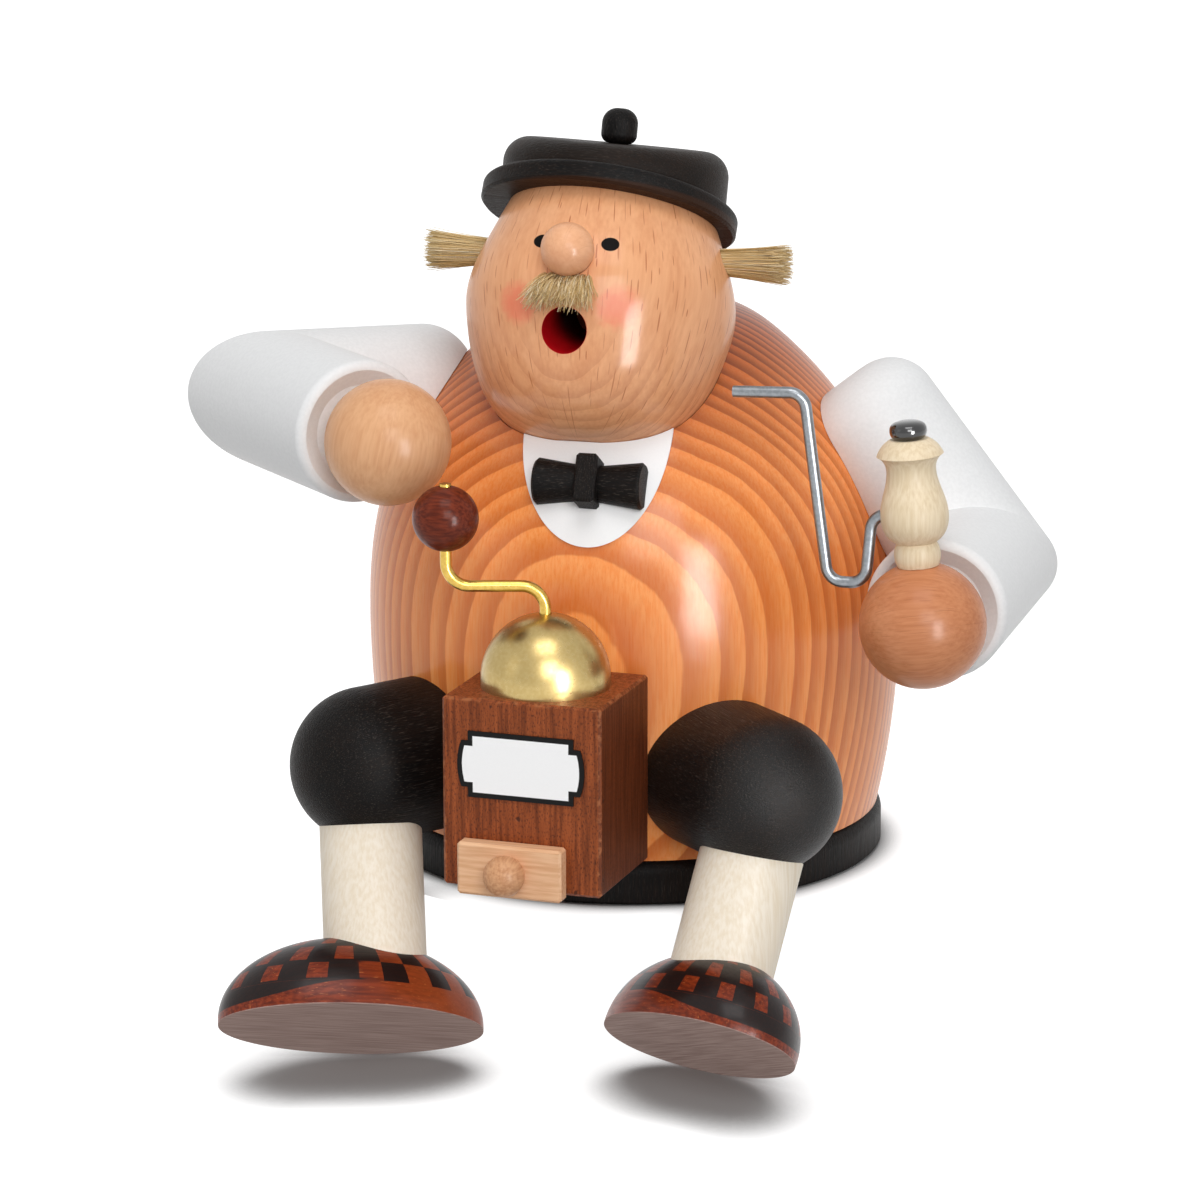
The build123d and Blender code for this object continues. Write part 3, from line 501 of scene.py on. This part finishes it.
# Pale close-grained wood in coordinates u and v across the grain and w along it
def paleWood(finish, u, v, w, light, dark):
    streak = grain(u, v, w, 1.8, 0.06, 3.0)
    pore = grain(u, v, w, 6.0, 0.35, 1.0)
    base = streak.step(0.3, 0.75).mix(light, dark)
    finish.give("Roughness", 0.4 + streak * 0.2)
    finish.bump(streak * 0.04 + pore * 0.03, 0.5)
    return (pore.step(0.62, 0.75) * 0.2).mix(base, dark)


# Two directions across the grain and one along it, light tone, dark tone
paleTones = {
    "right_shin": ((1, 0, 0), (0, 1, 0), (0, 0, 1), colour(248, 237, 220), colour(238, 223, 199)),
    "left_shin": ((1, 0, 0), (0, 1, 0), (-0.1, -0.3, 1), colour(248, 237, 220), colour(238, 223, 199)),
    "pipe_bowl": ((1, 0, 0), (0, 1, 0), (0, 0, 1), colour(240, 222, 192), colour(226, 204, 168)),
    "drawer_front": ((0, 1, 0), (0, 0, 1), (1, 0, 0), colour(236, 190, 150), colour(218, 164, 122)),
    "drawer_knob": ((1, 0, 0), (0, 0, 1), (0, 1, 0), colour(216, 164, 122), colour(192, 134, 94)),
}
for dowel in ("right_shoulder_dowel", "left_shoulder_dowel", "right_wrist_dowel", "left_wrist_dowel",
              "right_hip_dowel", "left_hip_dowel", "grinder_dowel"):
    paleTones[dowel] = ((1, 0, 0), (0, 0, 1), (0, 1, 0), colour(232, 208, 168), colour(212, 182, 138))
for name, (first, second, third, light, dark) in paleTones.items():
    finish = Finish(name, Coat_Weight=0.08, Coat_Roughness=0.25, Specular_IOR_Level=0.15)
    u, v, w = finish.local((0.0, 0.0, 0.0), first, second, third)
    finish.give("Base Color", paleWood(finish, u, v, w, light, dark))
    finish.dress(name)
print("pale wood dressed")

# Grinder: brown-stained box with worn edges; its sides are darkened with painted shade
grinder = {"turn": -4.0, "place": np.array([0.3, -65.0, 0.0]),
           "sideEdge": (14.5, 15.2), "frontEdge": (12.5, 13.2), "topEdge": (46.0, 46.8),
           "poreShare": 0.7, "nickShare": 0.8, "sideShade": 0.5, "wornShare": 0.7,
           "light": colour(160, 82, 42), "dark": colour(104, 48, 21), "nick": colour(50, 22, 11),
           "worn": colour(176, 108, 66)}
grinderTurn = math.radians(grinder["turn"])
grinderSide = np.array([math.cos(grinderTurn), math.sin(grinderTurn), 0.0])
grinderBack = np.array([-math.sin(grinderTurn), math.cos(grinderTurn), 0.0])
finish = Finish("grinderWood", Coat_Weight=0.1, Coat_Roughness=0.25, Specular_IOR_Level=0.1)
u, v, w = finish.local(grinder["place"], grinderSide, grinderBack, (0, 0, 1))
streak = grain(u, v, w, 1.5, 0.07, 4.0, 0.6)
pore = grain(u, v, w, 4.0, 1.6, 3.0).step(0.5, 0.68)
nick = grain(u, v, w, 1 / 2.2, 1 / 2.6, 1.0).step(0.72, 0.78)
base = streak.step(0.3, 0.72).mix(grinder["light"], grinder["dark"])
base = (pore * grinder["poreShare"]).mix(base, grinder["nick"])
base = (nick * grinder["nickShare"]).mix(base, grinder["nick"])
sideEdge = abs(u).step(*grinder["sideEdge"])
frontEdge = abs(v).step(*grinder["frontEdge"])
topEdge = w.step(*grinder["topEdge"])
edge = (sideEdge * frontEdge).most((sideEdge * topEdge).most(frontEdge * topEdge))
facing = finish.x.make("ShaderNodeNewGeometry", {}, "Normal").axes()
# painted shade: faces turned to the side take the dark nick colour, so the box's sides render darker
shadedSide = abs(sumOf(facing, grinderSide)).step(0.6, 0.8)
base = (shadedSide * grinder["sideShade"]).mix(base, grinder["nick"])
wearing = grain(u, v, w, 0.8, 0.8, 3.0).step(0.48, 0.66)
base = (edge * wearing * grinder["wornShare"]).mix(base, grinder["worn"])
finish.give("Base Color", base)
finish.give("Roughness", 0.36 + streak * 0.25)
finish.bump(streak * 0.08 - pore * 0.05 - nick * 0.15, 0.7)
finish.dress("grinder_box")

# Crank bead: red-brown, close grain along x
bead = {"light": colour(122, 50, 28), "dark": colour(86, 32, 18), "across": 2.0, "along": 0.25}
finish = Finish("crankBead", Coat_Weight=0.16, Coat_Roughness=0.18, Specular_IOR_Level=0.05)
streak = (finish.x * bead["along"]).noise(finish.y * bead["across"], finish.z * bead["across"], 3.0)
finish.give("Base Color", streak.step(0.3, 0.7).mix(bead["light"], bead["dark"]))
finish.give("Roughness", 0.28 + streak * 0.15)
finish.bump(streak * 0.04, 0.4)
finish.dress("crank_knob")

# Metal: gold lacquer, brass wire, zinc wire and tinplate; peel is the depth of the uneven surface
metals = {
    "goldLacquer": {"pieces": ("grinder_dome",), "light": colour(186, 164, 112),
                    "dark": colour(178, 154, 100), "roughness": 0.24, "peel": 0.001},
    "brassWire": {"pieces": ("grinder_crank",), "light": colour(206, 174, 92),
                  "dark": colour(192, 158, 76), "roughness": 0.18, "peel": 0.003},
    "zincWire": {"pieces": ("pipe_stem", "plate_nail"), "light": colour(142, 146, 150),
                 "dark": colour(124, 128, 132), "roughness": 0.26, "peel": 0.006},
    "tinplate": {"pieces": ("incense_plate",), "light": colour(196, 196, 192),
                 "dark": colour(170, 168, 160), "roughness": 0.34, "peel": 0.02},
}
for name, metal in metals.items():
    finish = Finish(name, Metallic=1.0)
    cloud = finish.mottle(1.4, 3.0)
    finish.give("Base Color", cloud.step(0.3, 0.7).mix(metal["light"], metal["dark"]))
    finish.give("Roughness", metal["roughness"] + cloud * 0.1)
    finish.bump(finish.mottle(4.0) * metal["peel"], 0.5)
    finish.dress(*metal["pieces"])

# Glossy black bead on the pipe
finish = Finish("blackBead", Coat_Weight=0.8, Coat_Roughness=0.06)
gloss = finish.mottle(2.0)
finish.give("Base Color", gloss.mix(colour(14, 13, 14), colour(26, 24, 25)))
finish.give("Roughness", 0.12 + gloss * 0.08)
finish.dress("pipe_bead")

# Card: shirt front, and the grinder's label with its black frame
shirt = {"dark": (0.9, 0.9, 0.91, 1.0), "light": (0.95, 0.95, 0.95, 1.0)}
finish = Finish("shirtCard", Roughness=0.5, Specular_IOR_Level=0.15)
fleck = finish.mottle(3.0)
finish.give("Base Color", fleck.mix(shirt["dark"], shirt["light"]))
finish.bump(fleck * 0.02, 0.4)
finish.dress("shirt_front")

label = {"end": 11.6, "bulge": 0.8, "shelf": 10.3, "top": 6.3, "step": 4.4, "height": 34.6,
         "frame": 0.95, "soft": 0.06,
         "black": colour(12, 11, 11), "dark": colour(250, 250, 251), "light": colour(255, 255, 255)}


# 1 where a coordinate is inside an edge by more than the frame's width
def inFrame(edge, coordinate):
    return (edge - label["frame"] - coordinate).step(-label["soft"], label["soft"])


finish = Finish("labelCard", Coat_Weight=0.06, Coat_Roughness=0.12, Specular_IOR_Level=0.1)
u, w = finish.local(grinder["place"] + (0.0, 0.0, label["height"]), grinderSide, (0, 0, 1))
u, w = abs(u), abs(w)
sideReach = label["end"] + label["bulge"] * (1.0 - w * w / label["step"] ** 2)
inWide = inFrame(sideReach, u) * inFrame(label["step"], w)
inTall = inFrame(label["shelf"], u) * inFrame(label["top"], w)
fleck = finish.mottle(3.0)
field = fleck.mix(label["dark"], label["light"])
finish.give("Base Color", inWide.most(inTall).mix(label["black"], field))
finish.give("Roughness", 0.3 + fleck * 0.1)
finish.dress("grinder_label")
print("grinder dressed")

# Slippers: mahogany with rows of black checks, whose brown squares have a black border on the toe
# half, a black toe cap below the checks and a raw sole
shoeTones = {"light": colour(134, 52, 24), "dark": colour(90, 30, 14), "ray": colour(186, 104, 56),
             "heel": colour(164, 78, 36), "black": colour(20, 18, 18), "sole": colour(176, 150, 141),
             "soleDark": colour(148, 122, 114)}
legSizes = {"thighHeight": 25.4, "kneeTurn": 36.5, "kneeReach": 65.0, "kneeDrop": 10.8,
            "shinLean": 24.0, "shinInward": 9.0, "setBack": 2.4, "outward": 2.1, "floor": 9.3,
            "shoeLean": 34.0, "shoeInward": 10.5, "axisHeight": 1.0, "halfLength": 25.5, "radius": 16.3}


# The direction of a shin or a shoe's axis, down and forward and towards the other leg
def leaningDown(sign, lean, inward):
    lean, inward = math.radians(lean), math.radians(inward)
    forward, down = math.sin(lean) * math.cos(inward), math.cos(lean) * math.cos(inward)
    return np.array([-sign * math.sin(inward), -forward, -down])


# A shoe's middle, and its directions to the toe, up and to the side, followed down from the knee
def shoeFrame(sign, toeTurn, shinLength, forward):
    kneeTurn, toeTurn = math.radians(legSizes["kneeTurn"]), math.radians(toeTurn)
    out = np.array([sign * math.sin(kneeTurn), -math.cos(kneeTurn), 0.0])
    down = leaningDown(sign, legSizes["shinLean"], legSizes["shinInward"])
    under = leaningDown(sign, legSizes["shoeLean"], legSizes["shoeInward"])
    toe = np.array([sign * math.sin(toeTurn), -math.cos(toeTurn), 0.0])
    toe = unit(*(toe - under * toe.dot(under)))
    offset = np.array([sign * legSizes["outward"], 0.0, 0.0]) - out * legSizes["setBack"]
    knee = out * legSizes["kneeReach"] + (0.0, 0.0, legSizes["thighHeight"])
    shinTop = knee + offset + down * (legSizes["kneeDrop"] - offset.dot(down))
    foot = shinTop + down * (shinLength + legSizes["floor"])
    return foot - under * legSizes["axisHeight"] + toe * forward, toe, -under, np.cross(toe, -under)


checks = {"start": 4.8, "row": 4.2, "columns": 15.0, "border": 0.1, "edge": 0.05,
          "capLow": 1.6, "capRise": 3.2, "ticks": 34.0, "tickTop": 6.0, "tickLow": 4.0,
          "soleEnd": 0.25, "soleFull": 0.05, "coat": 0.16}
shoes = {"right_shoe": {"sign": -1, "toeTurn": 55.0, "shinLength": 30.6, "forward": 5.2},
         "left_shoe": {"sign": 1, "toeTurn": 32.0, "shinLength": 28.1, "forward": -1.5}}
for name, shoe in shoes.items():
    middle, toe, rise, side = shoeFrame(**shoe)
    finish = Finish(name, Coat_Roughness=0.18, Specular_IOR_Level=0.12)
    a, c, b = finish.local(middle, toe, rise, side)
    height = c + legSizes["axisHeight"]
    streak = (a * 0.10).noise(b * 1.6, c * 1.6, 3.0)
    ray = (a * 0.5).noise(b * 4.0, c * 4.0, 1.0)
    base = streak.step(0.3, 0.72).mix(shoeTones["light"], shoeTones["dark"])
    base = (ray.step(0.64, 0.76) * 0.6).mix(base, shoeTones["ray"])
    ends = a / legSizes["halfLength"]
    sides = b / legSizes["radius"]
    around = sides.work("ARCTAN2", sides, ends) / math.pi
    rows = (height - checks["start"]) / checks["row"]
    columns = around * checks["columns"]
    parity = ((rows.floor() + columns.floor()) * 0.5).fract().step(0.2, 0.3)
    fromMiddle = abs(rows.fract() - 0.5).most(abs(columns.fract() - 0.5))
    border = fromMiddle.step(0.5 - checks["border"], 0.51 - checks["border"])
    parity = parity.most(border * ends.step(0.0, 0.1))
    upper = height.step(checks["start"] - checks["edge"], checks["start"] + checks["edge"])
    capFloor = checks["capLow"] + ends.step(0.95, 0.1) * checks["capRise"]
    cap = (height - capFloor).step(-0.1, 0.1) * ends.step(0.03, 0.06) * (1.0 - upper)
    black = (upper * parity).most(cap)
    tick = (around * checks["ticks"]).noise(0.5, c * 0.06, 1.0).step(0.7, 0.74)
    tick = tick * height.step(checks["tickTop"], checks["tickLow"])
    base = (ends.step(0.2, -0.7) * 0.6).mix(base, shoeTones["heel"])
    base = (tick * 0.7).mix(base, shoeTones["ray"])
    base = (black * 0.96).mix(base, shoeTones["black"])
    soleGrain = (a * 0.08).noise(b * 2.0, c, 3.0)
    soleBase = soleGrain.step(0.3, 0.7).mix(shoeTones["sole"], shoeTones["soleDark"])
    isSole = height.step(checks["soleEnd"], checks["soleFull"])
    finish.give("Base Color", isSole.mix(base, soleBase))
    finish.give("Roughness", 0.26 + streak * 0.15 + isSole * 0.35)
    finish.give("Coat Weight", checks["coat"] - isSole * checks["coat"])
    finish.bump(streak * 0.04 + isSole * soleGrain * 0.1, 0.6)
    finish.dress(name)
print("slippers dressed")

# Bristles: natural fibre of many shades, darker at the root
strand = {"sides": 3, "tip": 0.55, "shadeSeed": 7, "slant": (0.31, 0.52, 0.79)}
bristleTones = {"dark": colour(202, 166, 106), "middle": colour(236, 208, 154),
                "light": colour(252, 238, 206), "root": colour(140, 112, 72), "rootShare": 0.4}
bristle = Finish("bristleFibre", Specular_IOR_Level=0.2)
shade = bristle.attribute("shade")
depth = bristle.attribute("depth")
base = shade.step(0.0, 0.6).mix(bristleTones["dark"], bristleTones["middle"])
base = shade.step(0.7, 1.0).mix(base, bristleTones["light"])
base = (depth.step(0.25, 0.0) * bristleTones["rootShare"]).mix(base, bristleTones["root"])
bristle.give("Base Color", base)
bristle.give("Roughness", 0.42 + shade * 0.15)


# Each strand is a thin three-sided tube: a circle of points carried along a line, narrowing to the tip
def strandPiece(name, lines, thickness, body, replaced):
    count, rings = lines.shape[:2]
    sides = strand["sides"]
    along = np.gradient(lines, axis=1)
    along /= np.linalg.norm(along, axis=2, keepdims=True)
    first = np.cross(along, np.array(strand["slant"]))
    first /= np.linalg.norm(first, axis=2, keepdims=True)
    second = np.cross(along, first)
    turn = np.arange(sides) * 2 * math.pi / sides
    taper = np.linspace(1.0, strand["tip"], rings)[None, :, None, None]
    rim = first[:, :, None] * np.cos(turn)[:, None] + second[:, :, None] * np.sin(turn)[:, None]
    points = lines[:, :, None] + rim * thickness * taper
    number = np.arange(count * rings * sides).reshape(count, rings, sides)
    after = np.roll(number, -1, axis=2)
    quads = np.stack([number[:, :-1], after[:, :-1], after[:, 1:], number[:, 1:]], axis=-1).reshape(-1, 4)
    tips = number[:, -1]
    faces = quads.tolist() + tips.tolist()
    mesh = bpy.data.meshes.new(name)
    mesh.from_pydata((points * metre).reshape(-1, 3).tolist(), [], faces)
    mesh.polygons.foreach_set("use_smooth", np.ones(len(mesh.polygons), bool))
    shade = np.repeat(np.random.default_rng(strand["shadeSeed"]).random(count), rings * sides)
    depth = np.tile(np.repeat(np.linspace(0.0, 1.0, rings), sides), count)
    mesh.attributes.new("shade", "FLOAT", "POINT").data.foreach_set("value", shade.astype(np.float32))
    mesh.attributes.new("depth", "FLOAT", "POINT").data.foreach_set("value", depth.astype(np.float32))
    piece = bpy.data.objects.new(name, mesh)
    scene.collection.objects.link(piece)
    piece.data.materials.append(bristle.material)
    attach(piece, body)
    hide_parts(replaced)


# Hair: strands from a round spot on each side of the head, spread evenly by the golden angle
random = np.random.default_rng(3)
tuft = {"strands": 620, "rings": 6, "radius": 2.45, "length": 14.0, "shortest": 0.86, "flare": 1.5,
        "flarePower": 1.3, "lean": 0.28, "root": 1.5, "thickness": 0.10,
        "middle": headCentre + headUp * 11.5}
goldenAngle = math.pi * (3 - math.sqrt(5))
for side, sign in (("right", -1), ("left", 1)):
    low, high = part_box(f"{side}_hair_tuft")
    tipX = (low.x if sign < 0 else high.x) * 1000
    surface = tipX - sign * tuft["length"]
    number = np.arange(tuft["strands"])
    spread = tuft["radius"] * np.sqrt((number + 0.5) / tuft["strands"])
    turn = number * goldenAngle
    flat = np.column_stack([spread * np.cos(turn), spread * np.sin(turn)])
    lengths = tuft["length"] * random.uniform(tuft["shortest"], 1.0, tuft["strands"])
    lean = random.normal(0.0, tuft["lean"], (tuft["strands"], 2))
    along = np.linspace(0.0, 1.0, tuft["rings"])
    reach = -tuft["root"] + (lengths + tuft["root"])[:, None] * along
    opening = 1.0 + (tuft["flare"] - 1.0) * along ** tuft["flarePower"]
    across = flat[:, None] * opening[None, :, None] + lean[:, None] * (along ** 2)[None, :, None]
    lines = np.empty((tuft["strands"], tuft["rings"], 3))
    lines[:, :, 0] = surface + sign * reach
    lines[:, :, 1] = tuft["middle"][1] + across[:, :, 0]
    lines[:, :, 2] = tuft["middle"][2] + across[:, :, 1]
    strandPiece(f"{side}HairBristles", lines, tuft["thickness"], "figure", f"{side}_hair_tuft")

# Moustache: strands that leave the lip and bend down over it
beard = {"strands": 620, "rings": 7, "lift": 25.5, "stand": 25.2, "width": 8.2, "height": 2.6, "out": 4.2,
         "outRange": (0.55, 1.1), "drop": 5.6, "dropRange": (0.7, 1.1), "dropPower": 1.7, "spread": 1.5,
         "swing": -0.9, "swingSpread": 1.1, "root": 0.8, "thickness": 0.085}
lift = math.radians(beard["lift"])
lipOut = np.array([0.0, -math.cos(lift), math.sin(lift)])
lipUp = np.array([0.0, math.sin(lift), math.cos(lift)])
rootX = random.uniform(-0.5, 0.5, beard["strands"]) * beard["width"]
rootY = random.uniform(-0.5, 0.5, beard["strands"]) * beard["height"]
swing = random.normal(beard["swing"], beard["swingSpread"], beard["strands"])
outs = beard["out"] * random.uniform(*beard["outRange"], beard["strands"])
drops = beard["drop"] * random.uniform(*beard["dropRange"], beard["strands"])
along = np.linspace(0.0, 1.0, beard["rings"])
wide = rootX[:, None] * (1 + (beard["spread"] - 1) * along) + swing[:, None] * along ** 2
out = -beard["root"] + outs[:, None] * (1 - (1 - along) ** 2)
fall = rootY[:, None] - drops[:, None] * along ** beard["dropPower"]
lipMiddle = headCentre + lipOut * beard["stand"]
lines = lipMiddle + wide[..., None] * sideways + out[..., None] * lipOut + fall[..., None] * lipUp
strandPiece("moustacheBristles", lines, beard["thickness"], "figure", "moustache")
print("bristles made")
